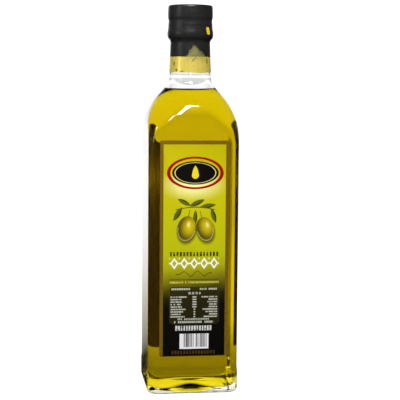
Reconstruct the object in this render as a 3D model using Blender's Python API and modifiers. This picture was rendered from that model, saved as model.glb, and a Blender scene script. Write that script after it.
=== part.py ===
"""A square bottle of clear glass, full of olive oil and shut under a shrink capsule.

The bottle stands on the XY plane, with its axis on +Z and its front label facing -Y.
Every length is in metres.
"""

import math

import bmesh
import bpy
import numpy as np

# Glass body, flat to flat and up the wall
SIDE = 0.0670
CORNER_RADIUS = 0.0074
WALL = 0.0033
HEEL_RADIUS = 0.0036
FOOT_WIDTH = 0.0070
FOOT_BAND = 0.0004
FOOT_BAND_TOP = 0.0130
LABEL_PANEL_BOTTOM = 0.0210
RECESS_HEIGHT = 0.0031
BASE_THICKNESS = 0.0036
INNER_HEEL_RADIUS = 0.0050
INNER_DOME_HEIGHT = 0.0028
INNER_CORNER_RADIUS = 0.0050
HEEL_CORNER_SHARE = 0.5

# Shoulder: a wall leans in along two arcs and a straight slope, then a fillet turns it
# upright again at the neck. Each bend is (radius, lean at its end).
SHOULDER_LEAN = math.radians(41.3)
FACE_LEAN_START = 0.1980
FACE_BENDS = ((0.0246, math.radians(8.0)), (0.0368, SHOULDER_LEAN))
CORNER_LEAN_START = 0.1854
CORNER_BENDS = ((0.0272, math.radians(29.0)), (0.0940, SHOULDER_LEAN))
NECK_FILLET_RADIUS = 0.0111
INNER_FILLET_RADIUS = 0.0100

# Neck and mouth
NECK_RADIUS = 0.0156
CAPSULE_EDGE_HEIGHT = 0.2374
HIDDEN_NECK_RADIUS = 0.0151
NECK_TOP_HEIGHT = 0.2600
NECK_TOP_RADIUS = 0.0138
MOUTH_HEIGHT = 0.2840
LIP_ROUNDING = 0.0008
BORE_RADIUS = 0.0093
BORE_NECK_RADIUS = 0.0122

# Oil
OIL_LEVEL = 0.2239

# Capsule, with the cap under it
CAPSULE_TOP = 0.2881
CAPSULE_DOME = 0.0004
CAPSULE_RIM_RADIUS = 0.01665
CAPSULE_FILLET = 0.0016
CAPSULE_FACETS = 48
TAB_ANGLE = math.radians(-47.0)
TAB_WIDTH = 0.0030
TAB_BOTTOM = 0.2656
TAB_TOP = 0.2712
TAB_THICKNESS = 0.0003

# Labels
LABEL_WIDTH = 0.0510
FRONT_LABEL_HEIGHT = 0.1598
FRONT_LABEL_BOTTOM = 0.0285
BACK_LABEL_HEIGHT = 0.1588
BACK_LABEL_BOTTOM = 0.0256
LABEL_THICKNESS = 0.0002
LABEL_CORNER = 0.0012

# Clearances between neighbouring solids
GAP = 0.0003
LABEL_GAP = 0.0001

# Fineness of the rings
POINTS_PER_QUADRANT = 10
HEEL_STEPS = 5
CURVE_STEPS = 4
RING_SPACING = 0.0014

HALF_SIDE = SIDE / 2
HALF_DIAGONAL = (HALF_SIDE - CORNER_RADIUS) * math.sqrt(2) + CORNER_RADIUS


def clear_scene():
    for old in list(bpy.data.objects):
        bpy.data.objects.remove(old)


def make_collection(name):
    collection = bpy.data.collections.new(name)
    bpy.context.scene.collection.children.link(collection)
    return collection


def make_material(name, color, roughness, metallic=0.0, transmission=0.0, ior=1.5):
    material = bpy.data.materials.new(name)
    material.use_nodes = True
    shader = material.node_tree.nodes["Principled BSDF"]
    shader.inputs["Base Color"].default_value = (*color, 1.0)
    shader.inputs["Roughness"].default_value = roughness
    shader.inputs["Metallic"].default_value = metallic
    shader.inputs["Transmission Weight"].default_value = transmission
    shader.inputs["IOR"].default_value = ior
    material.diffuse_color = (*color, 1.0)
    return material


def add_object(name, mesh, material, collection):
    obj = bpy.data.objects.new(name, mesh)
    collection.objects.link(obj)
    mesh.materials.append(material)
    return obj


# The wall's outline, as curves of (reach, height)


def leaning_wall(reach, height, bends, slope_end, fillet_radius, end_reach):
    """Points of a wall that starts upright at (reach, height) and leans in.

    Each bend is (radius, lean at its end). After the bends the wall is straight
    down to the reach slope_end, and a fillet then turns it upright at end_reach.
    """
    points = [(reach, height)]
    lean = 0.0
    for radius, end_lean in bends:
        for step in range(1, CURVE_STEPS + 1):
            angle = lean + (end_lean - lean) * step / CURVE_STEPS
            points.append(
                (
                    reach - radius * (math.cos(lean) - math.cos(angle)),
                    height + radius * (math.sin(angle) - math.sin(lean)),
                )
            )
        reach, height = points[-1]
        lean = end_lean
    height += (reach - slope_end) / math.tan(lean)
    reach = slope_end
    points.append((reach, height))
    for step in range(1, CURVE_STEPS + 1):
        angle = lean * (1 - step / CURVE_STEPS)
        points.append(
            (
                reach - fillet_radius * (math.cos(angle) - math.cos(lean)),
                height + fillet_radius * (math.sin(lean) - math.sin(angle)),
            )
        )
    assert abs(points[-1][0] - end_reach) < 1e-6
    return points


def fillet_depth(radius, lean):
    """How far a fillet that ends a slope draws the wall in."""
    return radius * (1 - math.cos(lean))


def reach_at(curve, height):
    """The curve's reach at a height, which is constant beyond its two ends."""
    reaches, heights = zip(*curve)
    return float(np.interp(height, heights, reaches))


def shoulder_curve(reach, lean_start, bends, neck_radius, fillet_radius):
    """A wall from the upright body at reach, up over the shoulder to the neck."""
    slope_end = neck_radius + fillet_depth(fillet_radius, SHOULDER_LEAN)
    return leaning_wall(reach, lean_start, bends, slope_end, fillet_radius, neck_radius)


def outer_curves():
    """The outer wall at the middle of a face, and along the diagonal through a corner."""
    face = shoulder_curve(HALF_SIDE, FACE_LEAN_START, FACE_BENDS, NECK_RADIUS, NECK_FILLET_RADIUS)
    corner = shoulder_curve(
        HALF_DIAGONAL, CORNER_LEAN_START, CORNER_BENDS, NECK_RADIUS, NECK_FILLET_RADIUS
    )
    return face, corner


def inner_curves():
    """The same two curves of the inner wall, a wall's thickness inside the outer ones."""
    face_bends = [(radius - WALL, lean) for radius, lean in FACE_BENDS]
    corner_bends = [(radius - WALL, lean) for radius, lean in CORNER_BENDS]
    reach = HALF_SIDE - WALL
    diagonal = (reach - INNER_CORNER_RADIUS) * math.sqrt(2) + INNER_CORNER_RADIUS
    face = shoulder_curve(
        reach, FACE_LEAN_START, face_bends, BORE_NECK_RADIUS, INNER_FILLET_RADIUS
    )
    corner = shoulder_curve(
        diagonal, CORNER_LEAN_START, corner_bends, BORE_NECK_RADIUS, INNER_FILLET_RADIUS
    )
    return face, corner


# Rings of points, each a square with round corners, and the skins lofted through them


def corner_radius_for(face_reach, corner_reach, smallest):
    """The corner radius that gives a section its reach along the diagonal."""
    radius = (math.sqrt(2) * face_reach - corner_reach) / (math.sqrt(2) - 1)
    return min(max(radius, smallest), face_reach)


def ring(reach, radius, height):
    """A section of the body: a square of half width reach with corners of that radius."""
    roundness = radius / reach
    points = []
    for quadrant in range(4):
        turn = quadrant * math.pi / 2
        points.append((reach * math.cos(turn), reach * math.sin(turn), height))
        for step in range(1, POINTS_PER_QUADRANT):
            on_square = (step - 1) / (POINTS_PER_QUADRANT - 2)
            on_circle = step / POINTS_PER_QUADRANT
            share = on_square + (on_circle - on_square) * roundness
            angle = share * math.pi / 2
            x = reach - radius + radius * math.cos(angle)
            y = reach - radius + radius * math.sin(angle)
            points.append(
                (
                    x * math.cos(turn) - y * math.sin(turn),
                    x * math.sin(turn) + y * math.cos(turn),
                    height,
                )
            )
    return points


def round_ring(radius, height):
    return ring(radius, radius, height)


def loft(name, rings, first_pole, last_pole):
    """A closed skin through the rings, with a point in the middle at either end.

    The rings run up the outside, so that the faces point out.
    """
    mesh = bpy.data.meshes.new(name)
    shape = bmesh.new()
    loops = [[shape.verts.new(point) for point in points] for points in rings]
    for lower, upper in zip(loops, loops[1:]):
        for here in range(len(lower)):
            after = (here + 1) % len(lower)
            shape.faces.new((lower[here], lower[after], upper[after], upper[here]))
    start = shape.verts.new((0, 0, first_pole))
    end = shape.verts.new((0, 0, last_pole))
    for here in range(len(loops[0])):
        after = (here + 1) % len(loops[0])
        shape.faces.new((start, loops[0][after], loops[0][here]))
        shape.faces.new((end, loops[-1][here], loops[-1][after]))
    shape.to_mesh(mesh)
    shape.free()
    mesh.shade_smooth()
    mesh.set_sharp_from_angle(angle=math.radians(35))
    return mesh


def wall_rings(face_curve, corner_curve, smallest_radius):
    """Rings at the heights where either curve of a wall has a point."""
    heights = []
    for height in sorted(height for _, height in face_curve + corner_curve):
        if not heights or height - heights[-1] > RING_SPACING:
            heights.append(height)
    rings = []
    for height in heights:
        reach = reach_at(face_curve, height)
        diagonal = reach_at(corner_curve, height)
        rings.append(ring(reach, corner_radius_for(reach, diagonal, smallest_radius), height))
    return rings


def heel_rings(reach, corner_radius, heel_radius, bottom):
    """The turn from the underside to the upright wall, a quarter of a circle."""
    rings = []
    for step in range(HEEL_STEPS + 1):
        angle = math.pi / 2 * step / HEEL_STEPS
        inset = heel_radius * (1 - math.sin(angle))
        height = bottom + heel_radius * (1 - math.cos(angle))
        radius = corner_radius - inset * HEEL_CORNER_SHARE
        rings.append(ring(reach - inset, radius, height))
    return rings


def dome_rings(reach, corner_radius, bottom, rise, steps=3):
    """Rings of a low dome inside reach, from near its middle out to just inside its rim."""
    rings = []
    for step in range(1, steps + 1):
        share = step / (steps + 1)
        radius = reach * share
        roundness = 1 - share * (1 - corner_radius / reach)
        height = bottom + rise * math.cos(math.pi / 2 * share) ** 2
        rings.append(ring(radius, radius * roundness, height))
    return rings


def inner_rings(gap):
    """The glass's inner wall from the base up to the bore, drawn in by a gap."""
    face, corner = (
        [(reach - gap, height) for reach, height in curve] for curve in inner_curves()
    )
    reach = HALF_SIDE - WALL - gap
    bottom = BASE_THICKNESS + gap
    heel = heel_rings(reach, INNER_CORNER_RADIUS, INNER_HEEL_RADIUS, bottom)
    rim = reach - INNER_HEEL_RADIUS
    dome = dome_rings(rim, INNER_CORNER_RADIUS, bottom, INNER_DOME_HEIGHT)
    return dome + heel + wall_rings(face, corner, INNER_CORNER_RADIUS)


def glass_mesh():
    band = HALF_SIDE + FOOT_BAND
    recess_reach = band - HEEL_RADIUS - FOOT_WIDTH
    foot_corner = CORNER_RADIUS - HEEL_RADIUS * HEEL_CORNER_SHARE
    outside = dome_rings(recess_reach, foot_corner, 0.0, RECESS_HEIGHT)
    outside.append(ring(recess_reach, foot_corner, 0.0))
    outside += heel_rings(band, CORNER_RADIUS, HEEL_RADIUS, 0.0)
    outside.append(ring(band, CORNER_RADIUS, FOOT_BAND_TOP))
    outside.append(ring(HALF_SIDE, CORNER_RADIUS, LABEL_PANEL_BOTTOM))
    outside += wall_rings(*outer_curves(), CORNER_RADIUS)
    neck = [
        round_ring(NECK_RADIUS, CAPSULE_EDGE_HEIGHT - GAP),
        round_ring(HIDDEN_NECK_RADIUS, CAPSULE_EDGE_HEIGHT),
        round_ring(NECK_TOP_RADIUS, NECK_TOP_HEIGHT),
        round_ring(NECK_TOP_RADIUS, MOUTH_HEIGHT - LIP_ROUNDING),
        round_ring(NECK_TOP_RADIUS - LIP_ROUNDING, MOUTH_HEIGHT),
        round_ring(BORE_RADIUS + LIP_ROUNDING, MOUTH_HEIGHT),
        round_ring(BORE_RADIUS, MOUTH_HEIGHT - LIP_ROUNDING),
        round_ring(BORE_RADIUS, NECK_TOP_HEIGHT),
    ]
    inside = inner_rings(0.0)[::-1]
    return loft(
        "glass_bottle",
        outside + neck + inside,
        RECESS_HEIGHT,
        BASE_THICKNESS + INNER_DOME_HEIGHT,
    )


def oil_mesh():
    below = [points for points in inner_rings(GAP) if points[0][2] < OIL_LEVEL - GAP]
    face, corner = inner_curves()
    reach = reach_at(face, OIL_LEVEL) - GAP
    diagonal = reach_at(corner, OIL_LEVEL) - GAP
    radius = corner_radius_for(reach, diagonal, INNER_CORNER_RADIUS)
    below.append(ring(reach, radius, OIL_LEVEL))
    return loft("olive_oil", below, BASE_THICKNESS + INNER_DOME_HEIGHT + GAP, OIL_LEVEL)


# The capsule


def capsule_outline():
    """The capsule's outer side as (radius, height), from the fillet at its top down."""
    shoulder = CAPSULE_TOP - CAPSULE_DOME - CAPSULE_FILLET
    fillet = []
    for degrees in (0, 30, 60, 90):
        angle = math.radians(degrees)
        radius = CAPSULE_RIM_RADIUS - CAPSULE_FILLET * (1 - math.sin(angle))
        fillet.append((radius, shoulder + CAPSULE_FILLET * math.cos(angle)))
    cap = [
        (0.01685, 0.2820),
        (0.01680, 0.2786),
        (0.01635, 0.2766),
        (0.01635, 0.2748),
        (0.01655, 0.2728),
        (0.01660, 0.2710),
        (0.01685, 0.2690),
        (0.01720, 0.2672),
        (0.01720, 0.2654),
        (0.01670, 0.2635),
        (0.01545, 0.2618),
        (0.01490, 0.2603),
    ]
    skirt = [(0.01505, 0.2557), (0.01530, 0.2500), (0.01560, 0.2430), (0.0159, CAPSULE_EDGE_HEIGHT)]
    return fillet + cap + skirt


def turned_mesh(name, outline):
    """An open profile of (radius, height) beside the Z axis, for a Screw modifier to turn."""
    mesh = bpy.data.meshes.new(name)
    points = [(radius, 0.0, height) for radius, height in outline]
    edges = [(here, here + 1) for here in range(len(points) - 1)]
    mesh.from_pydata(points, edges, [])
    return mesh


def turn(obj, facets):
    """Turns an object's profile round the Z axis."""
    screw = obj.modifiers.new("Turn", "SCREW")
    screw.axis = "Z"
    screw.steps = facets
    screw.render_steps = facets
    screw.use_merge_vertices = True
    screw.merge_threshold = 0.00001
    screw.use_smooth_shade = True


def capsule(collection, material):
    inside = [
        (HIDDEN_NECK_RADIUS + GAP, CAPSULE_EDGE_HEIGHT),
        (NECK_TOP_RADIUS + GAP, NECK_TOP_HEIGHT + GAP),
        (NECK_TOP_RADIUS + GAP, MOUTH_HEIGHT + GAP),
        (0.0, MOUTH_HEIGHT + GAP),
    ]
    outline = [(0.0, CAPSULE_TOP)] + capsule_outline() + inside
    mesh = turned_mesh("neck_capsule", outline)
    obj = add_object("neck_capsule", mesh, material, collection)
    turn(obj, CAPSULE_FACETS)
    return obj


def tear_tab(collection, material):
    """A small tab that lies on the capsule's widest part, over the front right corner."""
    side = sorted(capsule_outline(), key=lambda point: point[1])
    between = [height for _, height in side if TAB_BOTTOM < height < TAB_TOP]
    heights = [TAB_TOP] + between[::-1] + [TAB_BOTTOM]
    clear = [(reach_at(side, height) + LABEL_GAP, height) for height in heights]
    front = [(radius + TAB_THICKNESS, height) for radius, height in clear]
    arc = TAB_WIDTH / front[-1][0]
    mesh = bpy.data.meshes.new("tear_tab")
    shape = bmesh.new()
    slices = 3
    columns = []
    for step in range(slices):
        angle = TAB_ANGLE + arc * (step / (slices - 1) - 0.5)
        column = [
            shape.verts.new((radius * math.cos(angle), radius * math.sin(angle), height))
            for radius, height in front + clear[::-1]
        ]
        columns.append(column)
    shape.faces.new(columns[0])
    for left, right in zip(columns, columns[1:]):
        for here in range(len(left)):
            after = (here + 1) % len(left)
            shape.faces.new((left[here], right[here], right[after], left[after]))
    shape.faces.new(columns[-1][::-1])
    bmesh.ops.recalc_face_normals(shape, faces=shape.faces)
    shape.to_mesh(mesh)
    shape.free()
    return add_object("tear_tab", mesh, material, collection)


# The labels


def label(name, collection, material, bottom, height, facing):
    """A flat sheet with round corners in front of a face. facing is -1 at the front, 1 at the back."""
    curve = bpy.data.curves.new(name, "CURVE")
    curve.dimensions = "2D"
    curve.fill_mode = "BOTH"
    curve.extrude = LABEL_THICKNESS / 2
    spline = curve.splines.new("POLY")
    points = []
    corners = ((1, 1, 0), (-1, 1, 90), (-1, -1, 180), (1, -1, 270))
    for side, end, start in corners:
        for step in (0, 30, 60, 90):
            angle = math.radians(start + step)
            x = side * (LABEL_WIDTH / 2 - LABEL_CORNER) + LABEL_CORNER * math.cos(angle)
            y = end * (height / 2 - LABEL_CORNER) + LABEL_CORNER * math.sin(angle)
            points.append((x, y))
    spline.points.add(len(points) - 1)
    for point, (x, y) in zip(spline.points, points):
        point.co = (x, y, 0.0, 1.0)
    spline.use_cyclic_u = True
    obj = add_object(name, curve, material, collection)
    depth = facing * (HALF_SIDE + LABEL_GAP + LABEL_THICKNESS / 2)
    obj.location = (0.0, depth, bottom + height / 2)
    obj.rotation_euler = (math.pi / 2, 0.0, 0.0)
    return obj


def build():
    clear_scene()
    bottle = make_collection("olive_oil_bottle")
    glass = make_material("clear glass", (0.93, 0.96, 0.92), 0.03, transmission=1.0, ior=1.52)
    oil = make_material("golden oil", (0.72, 0.56, 0.01), 0.05, transmission=1.0, ior=1.47)
    film = make_material("black capsule film", (0.025, 0.024, 0.022), 0.35)
    tab = make_material("yellow tab film", (0.95, 0.72, 0.02), 0.4)
    paper = make_material("front label print", (0.55, 0.52, 0.02), 0.35)
    back_paper = make_material("back label print", (0.30, 0.28, 0.03), 0.35)
    add_object("glass_bottle", glass_mesh(), glass, bottle)
    add_object("olive_oil", oil_mesh(), oil, bottle)
    capsule(bottle, film)
    tear_tab(bottle, tab)
    label("front_label", bottle, paper, FRONT_LABEL_BOTTOM, FRONT_LABEL_HEIGHT, -1)
    label("back_label", bottle, back_paper, BACK_LABEL_BOTTOM, BACK_LABEL_HEIGHT, 1)


build()
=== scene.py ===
"""The looks of a square glass bottle full of olive oil, shut under a black and gold film.

Lengths are in metres, with +Z up the bottle's axis and the front label facing -Y. The
labels' layout is in millimetres on the sheet, x from its middle and z above the table.
"""

import math

import bpy
import numpy as np
from mathutils import Matrix, Vector, noise


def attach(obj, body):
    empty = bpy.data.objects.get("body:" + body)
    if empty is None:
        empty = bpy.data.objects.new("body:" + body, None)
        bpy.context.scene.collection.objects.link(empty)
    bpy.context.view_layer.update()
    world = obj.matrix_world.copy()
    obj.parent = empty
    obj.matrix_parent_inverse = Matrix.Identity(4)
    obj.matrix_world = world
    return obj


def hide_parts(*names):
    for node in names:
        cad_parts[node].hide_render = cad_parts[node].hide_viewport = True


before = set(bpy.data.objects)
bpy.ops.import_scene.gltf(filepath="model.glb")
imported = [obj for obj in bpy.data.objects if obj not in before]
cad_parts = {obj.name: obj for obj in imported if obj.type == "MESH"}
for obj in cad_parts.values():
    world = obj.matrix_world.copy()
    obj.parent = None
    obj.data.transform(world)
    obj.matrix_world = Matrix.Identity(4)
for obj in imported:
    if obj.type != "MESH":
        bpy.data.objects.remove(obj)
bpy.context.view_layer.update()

# Glass body
HALF_SIDE = 0.0335
CORNER_RADIUS = 0.0074
WALL = 0.0033
INNER_CORNER_RADIUS = 0.0050
HEEL_RADIUS = 0.0036
INNER_HEEL_RADIUS = 0.0050
HEEL_CORNER_SHARE = 0.5
FOOT_BAND = 0.0004
FOOT_BAND_TOP = 0.0130
LABEL_PANEL_BOTTOM = 0.0210
FOOT_WIDTH = 0.0070
RECESS_HEIGHT = 0.0031
BASE_THICKNESS = 0.0036
INNER_DOME_HEIGHT = 0.0028

# Shoulder: bends are (radius, lean at the end), for the middle of a face and for a corner
SHOULDER_LEAN = math.radians(41.3)
FACE_LEAN_START = 0.1980
FACE_BENDS = ((0.0246, math.radians(8.0)), (0.0368, SHOULDER_LEAN))
CORNER_LEAN_START = 0.1854
CORNER_BENDS = ((0.0272, math.radians(29.0)), (0.0940, SHOULDER_LEAN))
NECK_FILLET_RADIUS = 0.0111
INNER_FILLET_RADIUS = 0.0100

# Neck and mouth
NECK_RADIUS = 0.0156
HIDDEN_NECK_RADIUS = 0.0151
FILM_EDGE = 0.2374
FILM_ROOM = 0.0003
NECK_TOP = 0.2600
NECK_TOP_RADIUS = 0.0138
MOUTH = 0.2840
LIP_ROUNDING = 0.0008
BORE_RADIUS = 0.0093
BORE_NECK_RADIUS = 0.0122

# Oil: its flat level, how far it creeps up the wall, and how far its skin reaches into the glass
OIL_FLAT = 0.2222
OIL_CREEP = 0.0026
CREEP_REACH = 0.0014
WETTING = 0.0001

# Waves that moulding leaves in the walls
OUTER_WAVE = 0.00002
INNER_WAVE = 0.00008
WAVE_LENGTH = 0.024

# Fineness of the glass and oil skins
POINTS_PER_QUADRANT = 56
CORNER_CROWDING = 0.7
BEND_STEPS = 12
HEEL_STEPS = 10
DOME_STEPS = 14
RING_STEPS = 4
RING_REACH = 0.96
BODY_STEP = 0.006
SHOULDER_STEP = 0.0008
FOOT_STEP = 0.003
PANEL_STEP = 0.001
# Rings of the oil's free surface, as distances in from the glass
OIL_RINGS = (
    0.0, 0.0001, 0.0002, 0.0003, 0.00045, 0.0006, 0.0008, 0.001, 0.0013, 0.0016,
    0.002, 0.0025, 0.0032, 0.004, 0.005, 0.0065, 0.0085, 0.011, 0.014, 0.017,
)


def deselect_all():
    """Lets go of everything, so that an operator acts on its own piece alone."""
    bpy.ops.object.select_all(action="DESELECT")


def pick(piece):
    """Selects this piece alone."""
    deselect_all()
    piece.select_set(True)
    bpy.context.view_layer.objects.active = piece


def start_piece(name):
    """Names the primitive that was just added."""
    piece = bpy.context.active_object
    piece.name = name
    piece.data.name = name
    return piece


def apply_modifiers(piece):
    pick(piece)
    for modifier in list(piece.modifiers):
        bpy.ops.object.modifier_apply(modifier=modifier.name)


def shade_smooth(piece, sharp_degrees=None):
    pick(piece)
    if sharp_degrees is None:
        bpy.ops.object.shade_smooth()
    else:
        bpy.ops.object.shade_smooth_by_angle(angle=math.radians(sharp_degrees))


def thicken(piece, thickness):
    wall = piece.modifiers.new("Thickness", "SOLIDIFY")
    wall.thickness = thickness
    wall.offset = 1.0


def coat(piece, *materials):
    for material in materials:
        piece.data.materials.append(material)


def start_sheet(name, width, height, corner, segments):
    """A flat sheet with round corners, left open for more editing."""
    deselect_all()
    bpy.ops.mesh.primitive_plane_add(size=1.0)
    piece = start_piece(name)
    bpy.ops.object.mode_set(mode="EDIT")
    bpy.ops.mesh.select_all(action="SELECT")
    bpy.ops.transform.resize(value=(width, height, 1))
    bpy.ops.mesh.bevel(offset=corner, segments=segments, affect="VERTICES")
    return piece


def settle(piece):
    """Puts the piece's place, turn and scale into its mesh."""
    pick(piece)
    bpy.ops.object.transform_apply(location=True, rotation=True, scale=True)


# Sections of the glass: squares with round corners, which turn into circles at the neck


def leaning_wall(reach, height, bends, neck_radius, fillet_radius):
    """Points (reach, height) of a wall that leans in along its bends and ends upright."""
    slope_end = neck_radius + fillet_radius * (1 - math.cos(SHOULDER_LEAN))
    points = [(reach, height)]
    lean = 0.0
    for radius, end_lean in bends:
        for step in range(1, BEND_STEPS + 1):
            angle = lean + (end_lean - lean) * step / BEND_STEPS
            x = reach - radius * (math.cos(lean) - math.cos(angle))
            z = height + radius * (math.sin(angle) - math.sin(lean))
            points.append((x, z))
        reach, height = points[-1]
        lean = end_lean
    height += (reach - slope_end) / math.tan(lean)
    points.append((slope_end, height))
    for step in range(1, BEND_STEPS + 1):
        angle = lean * (1 - step / BEND_STEPS)
        x = slope_end - fillet_radius * (math.cos(angle) - math.cos(lean))
        z = height + fillet_radius * (math.sin(lean) - math.sin(angle))
        points.append((x, z))
    return points


def wall_curves(inset, corner, neck_radius, fillet_radius):
    """A wall's outline over a face's middle and over a corner, inset from the outside."""
    reach = HALF_SIDE - inset
    face_bends = [(radius - inset, lean) for radius, lean in FACE_BENDS]
    corner_bends = [(radius - inset, lean) for radius, lean in CORNER_BENDS]
    diagonal = (reach - corner) * math.sqrt(2) + corner
    face = leaning_wall(reach, FACE_LEAN_START, face_bends, neck_radius, fillet_radius)
    edge = leaning_wall(diagonal, CORNER_LEAN_START, corner_bends, neck_radius, fillet_radius)
    return face, edge


def reach_at(curve, height):
    reaches, heights = zip(*curve)
    return float(np.interp(height, heights, reaches))


def wall_section(curves, smallest_corner, height, inset=0.0):
    """The section (reach, corner radius, height) of a wall at a height."""
    face, edge = curves
    reach = reach_at(face, height)
    corner = (math.sqrt(2) * reach - reach_at(edge, height)) / (math.sqrt(2) - 1)
    corner = min(max(corner, smallest_corner), reach)
    return reach - inset, corner, height


def evenly(first, last, spacing):
    """Heights from first to last, both included, no further apart than the spacing."""
    steps = max(1, math.ceil(abs(last - first) / spacing))
    return [first + (last - first) * step / steps for step in range(steps + 1)]


def heel_sections(reach, corner, radius, bottom):
    """The quarter turn from an underside to an upright wall."""
    sections = []
    for step in range(HEEL_STEPS + 1):
        angle = math.pi / 2 * step / HEEL_STEPS
        inset = radius * (1 - math.sin(angle))
        height = bottom + radius * (1 - math.cos(angle))
        sections.append((reach - inset, corner - inset * HEEL_CORNER_SHARE, height))
    return sections


def dome_sections(reach, corner, bottom, rise):
    """A low dome from near its middle out to just inside its rim."""
    sections = []
    for step in range(1, DOME_STEPS + 1):
        share = step / (DOME_STEPS + 1)
        half = reach * share
        roundness = 1 - share * (1 - corner / reach)
        height = bottom + rise * math.cos(math.pi / 2 * share) ** 2
        sections.append((half, half * roundness, height))
    return sections


OUTER_WALL = wall_curves(0.0, CORNER_RADIUS, NECK_RADIUS, NECK_FILLET_RADIUS)
INNER_WALL = wall_curves(WALL, INNER_CORNER_RADIUS, BORE_NECK_RADIUS, INNER_FILLET_RADIUS)


def wall_heights(bottom, top):
    """Heights up a wall: wide apart where it is upright, close where it leans."""
    body = evenly(bottom, CORNER_LEAN_START, BODY_STEP)
    return body + evenly(CORNER_LEAN_START, top, SHOULDER_STEP)[1:]


def directions():
    """Polar angles of the points round a section, crowded towards the corners."""
    angles = []
    for index in range(4 * POINTS_PER_QUADRANT):
        quadrant, place = divmod(index, POINTS_PER_QUADRANT)
        share = place / POINTS_PER_QUADRANT
        towards = 1 - abs(2 * share - 1)
        crowded = CORNER_CROWDING * (1 - (1 - towards) ** 2) + (1 - CORNER_CROWDING) * towards
        turn = crowded if share <= 0.5 else 2 - crowded
        angles.append((quadrant + turn / 2) * math.pi / 2)
    return angles


def section_points(reach, corner, height):
    """Points round a section, where rays from the axis meet it."""
    points = []
    centre = reach - corner
    for angle in directions():
        turn = round(angle / (math.pi / 2)) * math.pi / 2
        local = angle - turn
        x, y = math.cos(local), abs(math.sin(local))
        if reach * y <= centre * x:
            distance = reach / x
        else:
            middle = centre * (x + y)
            distance = middle + math.sqrt(max(middle**2 - 2 * centre**2 + corner**2, 0.0))
        points.append((distance * math.cos(angle), distance * math.sin(angle), height))
    return points


def waved(points, depth):
    """Moves the points of an upright or leaning section in and out with the wall's waves."""
    if not depth:
        return points
    moved = []
    for x, y, z in points:
        share = 1 + depth * noise.noise(Vector((x, y, z)) / WAVE_LENGTH) / math.hypot(x, y)
        moved.append((x * share, y * share, z))
    return moved


def skin(name, rings, first_pole, last_pole):
    """A sphere whose rings are laid on the given ones, from pole to pole."""
    segments = len(rings[0])
    bands = len(rings) + 1
    deselect_all()
    bpy.ops.mesh.primitive_uv_sphere_add(segments=segments, ring_count=bands, radius=1.0)
    piece = start_piece(name)
    mesh = piece.data
    points = np.zeros(len(mesh.vertices) * 3, np.float32)
    mesh.vertices.foreach_get("co", points)
    points = points.reshape(-1, 3).astype(float)
    row = np.rint(bands - np.arccos(np.clip(points[:, 2], -1, 1)) / math.pi * bands).astype(int)
    turn = np.rint(np.arctan2(points[:, 1], points[:, 0]) / (2 * math.pi) * segments).astype(int)
    table = np.array(rings, float)
    inner = (row > 0) & (row < bands)
    points[inner] = table[row[inner] - 1, turn[inner] % segments]
    points[row == 0] = (0.0, 0.0, first_pole)
    points[row == bands] = (0.0, 0.0, last_pole)
    mesh.vertices.foreach_set("co", points.astype(np.float32).ravel())
    mesh.update()
    shade_smooth(piece)
    return piece, row


def lay(sections, depth=0.0):
    return [waved(section_points(*section), depth) for section in sections]


def inner_sections(top, inset):
    """The glass's inside from the base up, drawn out into the wall by the inset."""
    reach = HALF_SIDE - WALL + inset
    bottom = BASE_THICKNESS - inset
    rim = reach - INNER_HEEL_RADIUS
    sections = dome_sections(rim, INNER_CORNER_RADIUS, bottom, INNER_DOME_HEIGHT)
    sections += heel_sections(reach, INNER_CORNER_RADIUS, INNER_HEEL_RADIUS, bottom)
    for height in wall_heights(bottom + INNER_HEEL_RADIUS, top)[1:]:
        sections.append(wall_section(INNER_WALL, INNER_CORNER_RADIUS, height, -inset))
    return sections


def foot_sections():
    """The underside's recess, the flat ring that the bottle stands on, and the foot's band."""
    band = HALF_SIDE + FOOT_BAND
    recess = band - HEEL_RADIUS - FOOT_WIDTH
    corner = CORNER_RADIUS - HEEL_RADIUS * HEEL_CORNER_SHARE
    sections = dome_sections(recess, corner, 0.0, RECESS_HEIGHT)
    for step in range(RING_STEPS + 1):
        share = RING_REACH * step / RING_STEPS
        sections.append((recess + FOOT_WIDTH * share, corner, 0.0))
    sections += heel_sections(band, CORNER_RADIUS, HEEL_RADIUS, 0.0)
    for height in evenly(HEEL_RADIUS, FOOT_BAND_TOP, FOOT_STEP)[1:]:
        sections.append((band, CORNER_RADIUS, height))
    for height in evenly(FOOT_BAND_TOP, LABEL_PANEL_BOTTOM, PANEL_STEP)[1:]:
        share = (height - FOOT_BAND_TOP) / (LABEL_PANEL_BOTTOM - FOOT_BAND_TOP)
        swell = FOOT_BAND * (0.5 + 0.5 * math.cos(math.pi * share))
        sections.append((HALF_SIDE + swell, CORNER_RADIUS, height))
    return sections


def neck_sections():
    """From the film's edge up the hidden neck, over the lip and down the bore."""
    outline = [
        (NECK_RADIUS, FILM_EDGE - FILM_ROOM),
        (HIDDEN_NECK_RADIUS, FILM_EDGE),
        (NECK_TOP_RADIUS, NECK_TOP),
        (NECK_TOP_RADIUS, MOUTH - LIP_ROUNDING),
        (NECK_TOP_RADIUS - LIP_ROUNDING, MOUTH),
        (BORE_RADIUS + LIP_ROUNDING, MOUTH),
        (BORE_RADIUS, MOUTH - LIP_ROUNDING),
        (BORE_RADIUS, NECK_TOP),
    ]
    return [(radius, radius, height) for radius, height in outline]


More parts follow.
